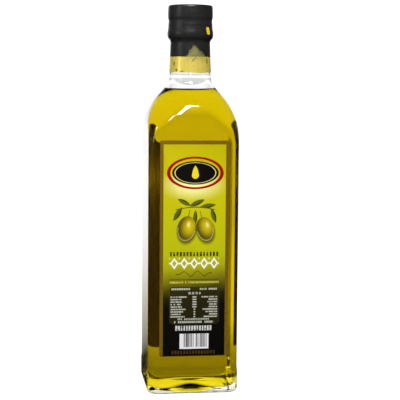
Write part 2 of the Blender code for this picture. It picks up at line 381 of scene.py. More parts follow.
def make_glass(clear, wetted):
    """The bottle, with the inner wall that the oil wets in a finish of its own."""
    outside = lay(foot_sections())
    body = wall_heights(LABEL_PANEL_BOTTOM, OUTER_WALL[0][-1][1])[1:]
    outside += lay([wall_section(OUTER_WALL, CORNER_RADIUS, z) for z in body], OUTER_WAVE)
    neck = lay(neck_sections())
    inside = lay(inner_sections(INNER_WALL[0][-1][1], 0.0), INNER_WAVE)[::-1]
    last_pole = BASE_THICKNESS + INNER_DOME_HEIGHT
    piece, row = skin("bottle_glass", outside + neck + inside, RECESS_HEIGHT, last_pole)
    coat(piece, clear, wetted)
    first_inside = len(outside) + len(neck)
    for face in piece.data.polygons:
        inside_face = min(row[index] for index in face.vertices) > first_inside
        if inside_face and face.center.z < OIL_FLAT + OIL_CREEP:
            face.material_index = 1
    return piece


def make_oil(material):
    """The oil, whose skin reaches just into the glass and creeps up it at the top."""
    contact = OIL_FLAT + OIL_CREEP
    below = lay(inner_sections(contact, WETTING), INNER_WAVE)
    reach, corner, _ = wall_section(INNER_WALL, INNER_CORNER_RADIUS, contact)
    top = []
    for inset in OIL_RINGS:
        height = OIL_FLAT + OIL_CREEP * math.exp(-inset / CREEP_REACH)
        half = reach - inset
        top.append((half, half * corner / reach, height))
    first_pole = BASE_THICKNESS + INNER_DOME_HEIGHT - WETTING
    piece, row = skin("oil_fill", below + lay(top), first_pole, OIL_FLAT)
    coat(piece, material)
    free = piece.data.attributes.new(FREE_SURFACE, "FLOAT", "FACE")
    for face in piece.data.polygons:
        on_top = min(row[index] for index in face.vertices) >= len(below)
        free.data[face.index].value = float(on_top)
    return piece


# Film over the neck and cap


FILM_TOP = 0.2881
FILM_SEGMENTS = 128
FILM_STEP = 0.0012
FILM_FILLET = 0.0016
FILM_RIM = 0.01665
GOLD_TOP = 0.2493
# The low dome on top: (radius, fall), and the fall at its rim
FILM_DOME = ((0.004, 0.00002), (0.009, 0.00012), (0.013, 0.00028))
FILM_DOME_FALL = 0.0004
# Creases of the side, and fine puckers below a height
CREASED_FROM = 0.0145
FOLD_DEPTH = 0.00007
PUCKER_DEPTH = 0.00008
PUCKER_TOP = 0.2625
FADE = 0.004
HEM_LIFT = 0.0002
HEM_TURN = 0.0004
INSIDE_ROOM = 0.0005
FILM_OUTLINE = [
    (0.01685, 0.2820), (0.01683, 0.2800), (0.01680, 0.2786), (0.01655, 0.2775), (0.01635, 0.2766),
    (0.01632, 0.2757), (0.01635, 0.2748), (0.01650, 0.2736), (0.01655, 0.2728), (0.01655, 0.2718),
    (0.01660, 0.2710), (0.01674, 0.2699), (0.01690, 0.2688), (0.01714, 0.2676), (0.01720, 0.2667),
    (0.01720, 0.2655), (0.01706, 0.2645), (0.01670, 0.2635), (0.01600, 0.2625), (0.01545, 0.2618),
    (0.01508, 0.2611), (0.01491, 0.2603), (0.01490, 0.2595), (0.01496, 0.2580), (0.01505, 0.2557),
    (0.01516, 0.2530), (0.01530, 0.2500), (0.01544, 0.2467), (0.01560, 0.2430), (0.01575, 0.2402),
    (0.01590, FILM_EDGE),
]


def film_rim():
    """The film's top edge: a low dome and a round fillet."""
    crown = FILM_TOP - FILM_DOME_FALL - FILM_FILLET
    points = [(radius, FILM_TOP - fall) for radius, fall in FILM_DOME]
    for step in range(7):
        angle = math.radians(15 * step)
        radius = FILM_RIM - FILM_FILLET * (1 - math.sin(angle))
        points.append((radius, crown + FILM_FILLET * math.cos(angle)))
    return points


def film_outline():
    """The film's outline from its middle down to the hem, in short steps."""
    rough = film_rim() + FILM_OUTLINE
    fine = [rough[0]]
    for (r0, z0), (r1, z1) in zip(rough, rough[1:]):
        steps = max(1, math.ceil(math.hypot(r1 - r0, z1 - z0) / FILM_STEP))
        for step in range(1, steps + 1):
            share = step / steps
            fine.append((r0 + (r1 - r0) * share, z0 + (z1 - z0) * share))
    return fine


def crease(angle, height):
    """How far the shrunken film lies out or in at a point of its skirt and cap."""
    x, y = math.cos(angle), math.sin(angle)
    fold = noise.noise(Vector((x * 3.1, y * 3.1, height / 0.014)))
    pucker = noise.noise(Vector((x * 9.0 + 4.0, y * 9.0, height / 0.006)))
    lower = min(max((PUCKER_TOP - height) / FADE, 0.0), 1.0)
    return FOLD_DEPTH * fold + lower * PUCKER_DEPTH * pucker


def hem_height(angle):
    """The wavy lower edge of the film."""
    return 0.00022 * math.sin(3 * angle + 2.1) + 0.00016 * math.sin(7 * angle + 0.4)


def make_film(outside, inside):
    """The film: rings extruded down from its top, then creased, with a turned-in hem."""
    outline = film_outline()
    deselect_all()
    bpy.ops.mesh.primitive_circle_add(
        vertices=FILM_SEGMENTS, radius=outline[0][0], fill_type="TRIFAN", location=(0, 0, outline[0][1])
    )
    piece = start_piece("capsule_film")
    settle(piece)
    bpy.ops.object.mode_set(mode="EDIT")
    bpy.ops.mesh.select_all(action="SELECT")
    bpy.ops.mesh.region_to_loop()
    hidden = [
        (HIDDEN_NECK_RADIUS + FILM_ROOM, FILM_EDGE + HEM_TURN),
        (NECK_TOP_RADIUS + FILM_ROOM, NECK_TOP + FILM_ROOM),
        (NECK_TOP_RADIUS + FILM_ROOM, MOUTH + FILM_ROOM),
    ]
    last_radius, last_height = outline[0]
    for radius, height in outline[1:] + hidden:
        bpy.ops.mesh.extrude_region_move(TRANSFORM_OT_translate={"value": (0, 0, height - last_height)})
        scale = radius / last_radius
        bpy.ops.transform.resize(value=(scale, scale, 1), center_override=(0, 0, height))
        last_radius, last_height = radius, height
    bpy.ops.mesh.edge_face_add()
    bpy.ops.mesh.poke()
    bpy.ops.mesh.select_all(action="SELECT")
    bpy.ops.mesh.normals_make_consistent(inside=False)
    bpy.ops.object.mode_set(mode="OBJECT")
    for vertex in piece.data.vertices:
        x, y, z = vertex.co
        radius = math.hypot(x, y)
        if radius < CREASED_FROM:
            continue
        angle = math.atan2(y, x)
        low = min(max((FILM_EDGE + FADE - z) / FADE, 0.0), 1.0)
        share = 1 + crease(angle, z) / radius
        vertex.co = (x * share, y * share, z + low * (hem_height(angle) + HEM_LIFT))
    shade_smooth(piece, 50)
    coat(piece, outside, inside)
    for face in piece.data.polygons:
        x, y, z = face.center
        facing_in = face.normal.x * x + face.normal.y * y < 0
        near = math.hypot(x, y) < HIDDEN_NECK_RADIUS + INSIDE_ROOM
        if facing_in and near and z < NECK_TOP + INSIDE_ROOM:
            face.material_index = 1
    return piece


TAB_ANGLE = math.radians(-47.0)
TAB_BOTTOM, TAB_TOP = 0.2656, 0.2712
TAB_WIDTH = 0.0030
TAB_LEAN = 0.0006
TAB_CORNER = 0.0009
TAB_OUT = 0.00014
TAB_THICKNESS = 0.00022
TAB_ROWS = 12
TAB_COLUMNS = 6


def film_radius(height):
    side = sorted(FILM_OUTLINE, key=lambda point: point[1])
    return float(np.interp(height, [z for _, z in side], [r for r, _ in side]))


def make_tab(material):
    """A thin yellow tab that bends round the film's widest part, with round ends."""
    tall = TAB_TOP - TAB_BOTTOM
    piece = start_sheet("capsule_tab", TAB_WIDTH, tall, TAB_CORNER, 5)
    for step in range(1, TAB_ROWS):
        up = tall * (step / TAB_ROWS - 0.5)
        bpy.ops.mesh.select_all(action="SELECT")
        bpy.ops.mesh.bisect(plane_co=(0, up, 0), plane_no=(0, 1, 0))
    for step in range(1, TAB_COLUMNS):
        across = TAB_WIDTH * (step / TAB_COLUMNS - 0.5)
        bpy.ops.mesh.select_all(action="SELECT")
        bpy.ops.mesh.bisect(plane_co=(across, 0, 0), plane_no=(1, 0, 0))
    bpy.ops.object.mode_set(mode="OBJECT")
    for vertex in piece.data.vertices:
        across, up, _ = vertex.co
        height = (TAB_BOTTOM + TAB_TOP) / 2 + up
        radius = film_radius(height) + TAB_OUT
        lean = -TAB_LEAN * up / tall
        angle = TAB_ANGLE + (across + lean) / radius
        vertex.co = (radius * math.cos(angle), radius * math.sin(angle), height)
    thicken(piece, TAB_THICKNESS)
    apply_modifiers(piece)
    shade_smooth(piece, 40)
    coat(piece, material)
    return piece


# Labels


LABEL_WIDTH = 0.0510
FRONT_LABEL_HEIGHT = 0.1598
BACK_LABEL_HEIGHT = 0.1588
FRONT_LABEL_BOTTOM = 0.0285
BACK_LABEL_BOTTOM = 0.0256
LABEL_CORNER = 0.0012
LABEL_OUT = 0.0002
LABEL_BEDDED = 0.00004
LABEL_EDGE = 0.00005


def make_label(name, bottom, height, facing, material):
    """A thin sheet bedded on the glass. facing is -1 in front and 1 behind."""
    piece = start_sheet(name, LABEL_WIDTH, height, LABEL_CORNER, 6)
    bpy.ops.object.mode_set(mode="OBJECT")
    piece.rotation_euler = (math.pi / 2, 0, 0 if facing < 0 else math.pi)
    piece.location = (0, facing * (HALF_SIDE - LABEL_BEDDED), bottom + height / 2)
    settle(piece)
    thicken(piece, LABEL_OUT + LABEL_BEDDED)
    edge = piece.modifiers.new("Edge", "BEVEL")
    edge.width = LABEL_EDGE
    edge.segments = 2
    edge.limit_method = "ANGLE"
    apply_modifiers(piece)
    shade_smooth(piece, 30)
    coat(piece, material)
    return piece


# Materials


def maths(operation):
    """A method that works out its values in a Math node."""

    def method(self, *others):
        return self.math(operation, self, *others)

    return method


class Wire:
    """A node's output. Arithmetic on it adds Math nodes to its tree."""

    def __init__(self, nodes, socket):
        self.nodes = nodes
        self.socket = socket

    def math(self, operation, *values, clamp=False):
        settings = {"operation": operation, "use_clamp": clamp}
        return self.nodes.node("ShaderNodeMath", settings, dict(enumerate(values)))

    __add__ = __radd__ = maths("ADD")
    __mul__ = __rmul__ = maths("MULTIPLY")
    __sub__ = maths("SUBTRACT")
    __truediv__ = maths("DIVIDE")
    __pow__ = maths("POWER")
    __lt__ = maths("LESS_THAN")
    __gt__ = maths("GREATER_THAN")
    __abs__ = maths("ABSOLUTE")
    sin = maths("SINE")
    floor = maths("FLOOR")
    most = maths("MAXIMUM")
    least = maths("MINIMUM")
    # The remainder after whole lengths, from 0 up to the length
    wrap = maths("FLOORED_MODULO")

    def __rsub__(self, other):
        return self.math("SUBTRACT", other, self)

    def held(self):
        """The value held between 0 and 1."""
        return self.math("ADD", self, 0.0, clamp=True)

    def rise(self, low, high, way="LINEAR"):
        """0 below low, 1 above high and straight between them."""
        settings = {"clamp": True, "interpolation_type": way}
        inputs = {"Value": self, "From Min": low, "From Max": high}
        return self.nodes.node("ShaderNodeMapRange", settings, inputs)

    def soft_rise(self, low, high):
        """The same with a gentle start and end."""
        return self.rise(low, high, "SMOOTHSTEP")


class Nodes:
    """A node tree, of a material or of the world."""

    def __init__(self, tree):
        self.tree = tree

    def node(self, kind, settings=(), inputs=(), output=0):
        """Adds a node: its settings first, then its sockets' values and links."""
        made = self.tree.nodes.new(kind)
        for name, value in dict(settings).items():
            if name == "stops":
                while len(made.color_ramp.elements) < len(value):
                    made.color_ramp.elements.new(1.0)
                for element, (place, color) in zip(made.color_ramp.elements, value):
                    element.position = place
                    element.color = (*color, 1.0)
            else:
                setattr(made, name, value)
        for name, value in dict(inputs).items():
            self.feed(made.inputs[name], value)
        return Wire(self, made.outputs[output])

    def feed(self, socket, value):
        if isinstance(value, Wire):
            self.tree.links.new(value.socket, socket)
        elif isinstance(value, tuple) and len(value) == 3 and socket.type == "RGBA":
            socket.default_value = (*value, 1.0)
        else:
            socket.default_value = value

    def axes(self, place):
        return [self.node("ShaderNodeSeparateXYZ", (), {0: place}, output=i) for i in range(3)]

    def point(self, x, y, z):
        return self.node("ShaderNodeCombineXYZ", (), {0: x, 1: y, 2: z})

    def grain(self, place, scale, detail=2.0, roughness=0.5):
        """Noise of about 0 to 1 at a place, with scale in waves to the place's unit."""
        inputs = {"Vector": place, "Scale": scale, "Detail": detail, "Roughness": roughness}
        return self.node("ShaderNodeTexNoise", (), inputs)

    def chance(self, cell, seed):
        """A random number from 0 to 1 for each cell."""
        inputs = {"Vector": self.point(cell, seed, 0.0)}
        return self.node("ShaderNodeTexWhiteNoise", {"noise_dimensions": "2D"}, inputs)

    def blend(self, share, below, above):
        """One colour over another, by a share."""
        return self.node("ShaderNodeMix", {"data_type": "RGBA"}, {0: share, 6: below, 7: above}, output=2)

    def ramp(self, value, stops):
        return self.node("ShaderNodeValToRGB", {"stops": stops}, {0: value})

    def bump(self, height, distance):
        return self.node("ShaderNodeBump", (), {"Height": height, "Distance": distance, "Strength": 1.0})

    def rays(self, kind):
        """1 for rays of a kind, such as Camera."""
        return self.node("ShaderNodeLightPath", output=f"Is {kind} Ray")


class Finish(Nodes):
    """A material with one Principled shader."""

    def __init__(self, name, **constants):
        self.material = bpy.data.materials.new(name)
        self.material.use_nodes = True
        super().__init__(self.material.node_tree)
        self.shader = self.tree.nodes["Principled BSDF"]
        self.output = self.tree.nodes["Material Output"]
        self.paint(**constants)

    def paint(self, **sockets):
        """Feeds the shader's own sockets."""
        for name, value in sockets.items():
            self.feed(self.shader.inputs[name.replace("_", " ")], value)

    def place(self):
        """The object's own coordinates."""
        return self.node("ShaderNodeTexCoord", output="Object")


def srgb(red, green, blue):
    """A colour read off a screen, as the linear light that a shader takes."""
    linear = []
    for value in (red, green, blue):
        share = value / 255
        linear.append(share / 12.92 if share <= 0.04045 else ((share + 0.055) / 1.055) ** 2.4)
    return tuple(linear)


def grey(level):
    return (level, level, level)


GLASS_INDEX = 1.52
OIL_INDEX = 1.47
FREE_SURFACE = "free_surface"
OIL_COLOR = (0.960, 0.916, 0.02)
OIL_DENSITY = 125.0
# Painted shade, a dark outline low on the foot broken into slanted dashes: inner edge, height, spacing
# and slant
FOOT_SHADE_REACH = 0.0312
FOOT_SHADE_TOP = 0.0013
FOOT_SHADE_PITCH = 0.0019
FOOT_SHADE_SLANT = 0.7
PAINTED_FOOT_SHADE_COLOR = (0.03, 0.03, 0.02)


def clear_glass(name, index):
    """Clear glass, with its index against what lies on it: air, or the oil that wets it."""
    finish = Finish(name, Transmission_Weight=1.0, IOR=index)
    place = finish.place()
    drawn = finish.grain(place, 60.0, 1.0)
    pores = finish.grain(place, 900.0, 2.0)
    tint = finish.blend(drawn, (0.975, 0.985, 0.975), (1.0, 1.0, 0.995))
    x, y, z = finish.axes(place)
    # Painted shade: the glass is tinted dark in slanted dashes round the foot's lower edge, as a dark
    # outline at its base
    foot_shade = abs(x).most(abs(y)).rise(FOOT_SHADE_REACH - 0.0002, FOOT_SHADE_REACH)
    foot_shade = foot_shade * z.rise(FOOT_SHADE_TOP, FOOT_SHADE_TOP - 0.0003)
    shade_dashes = ((x + FOOT_SHADE_SLANT * y) / FOOT_SHADE_PITCH).wrap(1.0).rise(0.86, 0.70)
    tint = finish.blend(foot_shade * (0.35 + 0.6 * shade_dashes), tint, PAINTED_FOOT_SHADE_COLOR)
    finish.paint(Base_Color=tint, Roughness=pores * 0.004, Normal=finish.bump(drawn, 0.00002))
    return finish.material


def oil_liquid():
    """Golden oil: its free surface bends light, its sides lie in the glass and don't."""
    finish = Finish("golden oil", Transmission_Weight=1.0, IOR=OIL_INDEX)
    cloud = finish.grain(finish.place(), 45.0, 2.0)
    tint = finish.blend(cloud, (1.0, 0.985, 0.90), (1.0, 1.0, 0.95))
    finish.paint(Base_Color=tint, Roughness=cloud * 0.006)
    look = {"Base Color": tint, "Transmission Weight": 1.0, "IOR": 1.0}
    sides = finish.node("ShaderNodeBsdfPrincipled", (), look)
    free = finish.node("ShaderNodeAttribute", {"attribute_name": FREE_SURFACE}, output="Fac")
    surface = Wire(finish, finish.shader.outputs[0])
    skin_shader = finish.node("ShaderNodeMixShader", (), {0: free, 1: sides, 2: surface})
    finish.feed(finish.output.inputs["Surface"], skin_shader)
    depth = finish.node(
        "ShaderNodeVolumeAbsorption", (), {"Color": OIL_COLOR, "Density": OIL_DENSITY}
    )
    finish.feed(finish.output.inputs["Volume"], depth)
    return finish.material


# The dull smear: peak and foot, turn from the front, fall to the right and the left, and ragged edge
SMEAR_PEAK = 0.2592
SMEAR_FOOT = 0.2442
SMEAR_TURN = math.radians(3.0)
SMEAR_FALL = 0.0135
SMEAR_LEFT_FALL = 1.75
SMEAR_RAGGED = 0.0110
# Nicks: degrees from the front, height, half width as a turn, half height, slant as turn to the metre
FOIL_NICKS = (
    (-57.0, 0.2443, 0.07, 0.0022, 0.0),
    (-47.0, 0.2393, 0.09, 0.0016, 0.0),
    (47.0, 0.2458, 0.06, 0.0027, 0.0),
    (-30.0, 0.2386, 0.16, 0.0007, 0.0),
    (3.5, 0.2474, 0.05, 0.0026, 60.0),
    (150.0, 0.2430, 0.08, 0.0020, 0.0),
)


def film_inside():
    """The pale foil on the inside of the film, seen through the neck's glass."""
    finish = Finish("film inside", IOR=1.5)
    grain = finish.grain(finish.place(), 500.0, 3.0)
    finish.paint(
        Base_Color=finish.blend(grain, srgb(222, 214, 190), srgb(240, 234, 214)),
        Roughness=0.45 + 0.2 * (grain - 0.5),
        Normal=finish.bump(grain, 0.00004),
    )
    return finish.material


def film_finish():
    """Black satin film with a band of gold foil at its hem, rubbed dull in places."""
    finish = Finish("capsule film", IOR=1.5)
    place = finish.place()
    x, y, z = finish.axes(place)
    angle = x.math("ARCTAN2", x, -1.0 * y)
    mottle = finish.grain(place, 260.0, 3.0)
    fine = finish.grain(place, 1400.0, 2.0)
    drag = finish.grain(finish.point(x * 6.0, y * 6.0, z * 0.6), 90.0, 3.0)
    edge = GOLD_TOP + 0.00048 * (finish.grain(place, 220.0, 2.0) - 0.5)
    gold = (edge - z).rise(-0.00006, 0.00006)
    ragged = SMEAR_RAGGED * (finish.grain(place, 340.0, 5.0, 0.7) - 0.5)
    aside = (angle - SMEAR_TURN).most((SMEAR_TURN - angle) * SMEAR_LEFT_FALL)
    depth = (SMEAR_PEAK - aside * SMEAR_FALL - z + ragged).rise(0.0, 0.0024)
    foot = (z - SMEAR_FOOT + ragged).rise(0.0, 0.0030)
    patchy = finish.grain(place, 750.0, 3.0, 0.7)
    smear = (depth * foot * (0.45 + 2.0 * (patchy - 0.3))).held()
    nicks = 0.0
    for turn, height, wide, tall, slant in FOIL_NICKS:
        across = angle - math.radians(turn) - slant * (z - height)
        off = (across / wide) ** 2 + ((z - height) / tall) ** 2
        nicks = (1.0 - off + (patchy - 0.5) * 3.2).soft_rise(0.1, 0.7) + nicks
    nicks = nicks.held() * gold
    black = finish.blend(mottle, srgb(28, 28, 28), srgb(40, 40, 39))
    foil = finish.blend(drag, srgb(250, 220, 90), srgb(255, 238, 120))
    foil = finish.blend(nicks * 0.8, foil, srgb(92, 78, 28))
    dull = finish.blend(mottle, srgb(112, 108, 58), srgb(152, 146, 82))
    color = finish.blend(gold, black, foil)
    color = finish.blend(smear * (0.95 - 0.28 * gold), color, dull)
    height = fine * 0.25 + drag * 0.5 + mottle * 0.6
    finish.paint(
        Base_Color=color,
        Metallic=gold * 0.36 * (1.0 - 0.7 * smear) * (1.0 - 0.6 * nicks),
        Roughness=0.36 + 0.10 * (mottle - 0.5) - 0.08 * gold + 0.25 * smear,
        Normal=finish.bump(height, 0.00006),
    )
    return finish.material


def tab_finish():
    finish = Finish("tab film", IOR=1.5)
    grain = finish.grain(finish.place(), 700.0, 3.0)
    finish.paint(
        Base_Color=finish.blend(grain, srgb(236, 196, 12), srgb(255, 222, 26)),
        Roughness=0.32 + 0.2 * grain,
        Normal=finish.bump(grain, 0.00003),
    )
    return finish.material


# Print: shapes on the sheet, in millimetres

MILLIMETRES = 1000.0
INK_EDGE = 0.12
DASH_GAPS = 0.08
DARK = srgb(62, 50, 8)
PALE = srgb(222, 222, 206)


def inked(gap, edge=INK_EDGE):
    """1 where there is ink, 0 outside, with a soft edge."""
    return gap.rise(edge / 2, -edge / 2)


def rule(gap, width):
    """A line along the edge of a shape."""
    return inked(abs(gap) - width / 2)


class Sheet:
    """A label's face, inked over shape by shape. A gap is less than 0 inside its shape."""

    def __init__(self, finish, x, z):
        self.finish, self.x, self.z = finish, x, z
        self.color = label_field(finish, x, z)

    def ink(self, share, color):
        self.color = self.finish.blend(share, self.color, color)

    def box_gap(self, left, right, bottom, top, corner=0.0):
        """Distance outside a box with round corners."""
        dx = abs(self.x - (left + right) / 2) - ((right - left) / 2 - corner)
        dz = abs(self.z - (bottom + top) / 2) - ((top - bottom) / 2 - corner)
        if not corner:
            return dx.most(dz)
        outside = (dx.most(0.0) ** 2 + dz.most(0.0) ** 2) ** 0.5
        return outside + dx.most(dz).least(0.0) - corner

    def box(self, *sides):
        return inked(self.box_gap(*sides))

    def turned(self, middle, degrees):
        """Coordinates along and across a shape that is turned about its middle."""
        c, s = math.cos(math.radians(degrees)), math.sin(math.radians(degrees))
        dx, dz = self.x - middle[0], self.z - middle[1]
        return dx * c + dz * s, dz * c - dx * s

    def oval_gap(self, middle, half_long, half_high, degrees=0.0):
        along, across = self.turned(middle, degrees)
        reach = ((along / half_long) ** 2 + (across / half_high) ** 2) ** 0.5
        return (reach - 1.0) * min(half_long, half_high)

    def leaf_gap(self, middle, half_long, half_high, degrees):
        """A leaf with two pointed ends: its width falls off along a parabola."""
        along, across = self.turned(middle, degrees)
        return abs(across) - (1.0 - (along / half_long) ** 2) * half_high

    def ink_dashes(self, rows):
        """Rows of short plain dashes of uneven length and form, with gaps."""
        for *box, pitch, seed, fill, strength, color in rows:
            left, _, bottom, top = box
            place = (self.x - left) / pitch
            random = self.finish.chance(place.floor(), seed)
            mark = abs(place.wrap(1.0) - 0.5) - fill * (0.3 + 0.2 * random)
            worn = 1.5 / (top - bottom)
            spot = self.finish.point(self.x * worn * 1.3, self.z * worn, seed)
            strokes = 0.4 + 0.6 * self.finish.grain(spot, 1.0, 1.0).rise(0.34, 0.44)
            dashes = inked(mark * pitch) * strokes * self.box(*box) * (random > DASH_GAPS)
            self.ink(dashes * strength, color)

    def lines(self, bottom, step, half_tall):
        """Which line of small print a point is on, and 1 within that line's height."""
        line = (self.z - bottom) / step
        return line.floor(), inked(abs(line.wrap(1.0) - 0.5) * step - half_tall)

    def specks(self, along, line, shift):
        """Breaks along the lines of small print."""
        return self.finish.grain(self.finish.point(self.x * along, line * shift, 0.0), 1.0, 1.0)


LABEL_FIELD = (
    (28.5, srgb(13, 11, 8)),
    (66.0, srgb(17, 15, 9)),
    (74.0, srgb(40, 37, 8)),
    (80.0, srgb(84, 78, 5)),
    (87.0, srgb(132, 126, 4)),
    (95.0, srgb(172, 170, 4)),
    (106.0, srgb(187, 189, 4)),
    (122.0, srgb(192, 190, 4)),
    (138.0, srgb(196, 191, 4)),
    (156.0, srgb(202, 191, 6)),
    (172.0, srgb(193, 182, 5)),
    (188.3, srgb(182, 170, 5)),
)


def label_field(finish, x, z):
    """The label's ground: bright green and gold above, which darkens to black below."""
    low, high = LABEL_FIELD[0][0], LABEL_FIELD[-1][0]
    cloud = finish.grain(finish.point(x * 0.02, z * 0.02, 0.0), 4.0, 2.0) - 0.5
    height = z - 0.10 * x * (110.0 - z).rise(0.0, 20.0) + 4.0 * cloud
    share = (height - low) / (high - low)
    return finish.ramp(share, [((stop - low) / (high - low), color) for stop, color in LABEL_FIELD])


# Middle, half length, half width and turn in degrees
LEAVES = (
    ((-12.5, 134.4), 6.0, 1.9, 58.0),
    ((-7.6, 143.0), 5.6, 1.7, 152.0),
    ((1.8, 142.6), 6.2, 1.8, 24.0),
    ((9.8, 140.4), 6.2, 1.7, 8.0),
    ((14.0, 133.2), 5.8, 1.8, 108.0),
    ((0.4, 131.5), 6.0, 1.6, 86.0),
)
FRUITS = (((-6.0, 123.4), 6.9, 9.6, -12.0), ((7.9, 123.0), 6.6, 9.2, 14.0))
FRUIT_SKIN = (
    (0.0, srgb(214, 196, 14)),
    (0.45, srgb(186, 166, 10)),
    (0.85, srgb(122, 108, 6)),
    (1.0, srgb(92, 82, 8)),
)


def ink_leaves(sheet):
    finish = sheet.finish
    shade = finish.grain(finish.point(sheet.x * 0.1, sheet.z * 0.1, 3.0), 6.0, 2.0)
    for middle, half_long, half_high, degrees in LEAVES:
        _, across = sheet.turned(middle, degrees)
        side = across.rise(-half_high, half_high)
        green = finish.blend(side, srgb(36, 44, 8), srgb(112, 120, 22))
        green = finish.blend(shade * 0.5, green, srgb(70, 78, 14))
        green = finish.blend(inked(abs(across) - 0.10) * 0.6, green, srgb(150, 150, 60))
        sheet.ink(inked(sheet.leaf_gap(middle, half_long, half_high, degrees)), green)


def ink_fruit(sheet, middle, half_wide, half_tall, degrees):
    """A round fruit on a short stalk, with a shadow, a glint and a pale lower rim."""
    finish = sheet.finish
    across, up = sheet.turned(middle, degrees)
    gap = sheet.oval_gap(middle, half_wide, half_tall, degrees)
    shadow = sheet.oval_gap((middle[0] + 0.4, middle[1] - 1.3), half_wide, half_tall, degrees)
    sheet.ink(shadow.rise(1.2, -0.6) * 0.75, srgb(38, 36, 6))
    stalk = (abs(across + 0.4) - 0.35).most(abs(up - half_tall - 2.2) - 2.6)
    sheet.ink(inked(stalk), srgb(120, 116, 50))
    lit = (((across - 1.8) / half_wide) ** 2 + ((up - 2.0) / half_tall) ** 2) ** 0.5
    color = finish.ramp(lit, FRUIT_SKIN)
    glint = sheet.oval_gap((middle[0] + 1.6, middle[1] + 3.4), 1.1, 2.0, degrees)
    color = finish.blend(inked(glint, 1.0) * 0.6, color, srgb(246, 240, 150))
    rim = inked(abs(gap + 0.7) - 0.25, 0.7) * (up < 0.0) * 0.55
    color = finish.blend(rim, color, srgb(225, 218, 130))
    sheet.ink(inked(gap), color)


def ink_sprig(sheet):
    """A level twig over two fruits, with narrow leaves along it."""
    x, z = sheet.x, sheet.z
    twig = z - 139.5 + 0.0095 * (x + 2.0) ** 2 - 0.05 * x
    ink_leaves(sheet)
    sheet.ink(inked((abs(twig) - 0.38).most(abs(x - 0.5) - 14.5)), srgb(96, 92, 40))
    for fruit in FRUITS:
        ink_fruit(sheet, *fruit)


PLAQUE_MIDDLE = (0.4, 164.6)
DROP_MIDDLE = (0.4, 162.9)


def ink_plaque(sheet):
    """A soft glow behind a level black oval with a red ring and a golden drop."""
    glow = sheet.oval_gap((-1.0, 156.0), 20.0, 10.0)
    sheet.ink(glow.soft_rise(4.0, -9.0) * 0.85, srgb(252, 248, 170))
    sheet.ink(rule(sheet.oval_gap(PLAQUE_MIDDLE, 19.6, 11.2), 1.5), srgb(160, 4, 12))
    disc = sheet.oval_gap(PLAQUE_MIDDLE, 17.2, 8.6)
    sheet.ink(inked(disc), srgb(14, 13, 10))
    sheet.ink(rule(disc + 1.1, 0.35), srgb(226, 214, 130))
    tip = sheet.leaf_gap((0.4, 164.4), 5.6, 2.2, 90.0).most(DROP_MIDDLE[1] - sheet.z)
    sheet.ink(inked(sheet.oval_gap(DROP_MIDDLE, 2.6, 2.6).least(tip)), srgb(232, 206, 40))


CHAIN_PITCH = 7.36
CHAIN_HALF = 18.4
CHAIN_HEIGHT = 98.0
DOT_HEIGHT = 101.6


def ink_lozenges(sheet):
    """White open lozenges in a row, with dots between them, over a thin wavy line."""
    x, z = sheet.x, sheet.z
    place = abs((x + CHAIN_HALF).wrap(CHAIN_PITCH) - CHAIN_PITCH / 2)
    body = place / 3.1 + abs(z - CHAIN_HEIGHT) / 4.5 - 1.0
    chain = inked(abs(body * 2.6 + 0.65) - 0.58)
    for height, radius in ((CHAIN_HEIGHT, 0.75), (DOT_HEIGHT, 0.5)):
        dot = ((place - CHAIN_PITCH / 2) ** 2 + (z - height) ** 2) ** 0.5
        chain = chain.most(inked(dot - radius))
    sheet.ink(chain * inked(abs(x) - CHAIN_HALF), srgb(250, 250, 240))
    swing = (x * 0.62).sin() * 2.0 * (1.0 - (x / 15.0) ** 2)
    line = abs(z - 90.3 - swing) - 0.30
    sheet.ink(inked(line.most(abs(x) - 13.5)) * 0.9, srgb(58, 48, 8))


# Left, right, bottom, top, pitch, seed, fill, strength and colour
FRONT_DASHES = (
    (-18.5, 18.3, 103.3, 106.5, 2.45, 1.0, 0.74, 1.0, DARK),
    (-18.3, 18.3, 83.2, 84.6, 1.15, 2.0, 0.8, 0.9, srgb(222, 214, 96)),
    (-16.9, -3.0, 78.2, 79.6, 1.3, 3.0, 0.85, 0.85, PALE),
    (4.2, 17.2, 78.2, 79.6, 1.3, 4.0, 0.85, 0.75, PALE),
    (-4.6, 4.8, 75.0, 76.6, 2.6, 5.5, 0.8, 0.7, PALE),
    (-12.3, 11.4, 55.9, 57.1, 1.25, 8.0, 0.85, 0.75, PALE),
    (-14.9, 14.2, 53.6, 55.1, 1.5, 9.0, 0.85, 0.8, PALE),
    (-13.9, 13.6, 47.9, 51.6, 1.95, 10.0, 0.8, 0.9, srgb(228, 228, 226)),
    (-16.8, 15.9, 30.3, 32.9, 2.2, 12.0, 0.78, 0.55, srgb(112, 74, 24)),
)
BACK_DASHES = (
    (-13.0, 13.0, 170.6, 173.4, 2.3, 21.0, 0.74, 0.9, PALE),
    (-14.0, 14.0, 42.0, 45.0, 2.0, 23.0, 0.8, 0.8, PALE),
)
BAR_WIDTH = 0.5


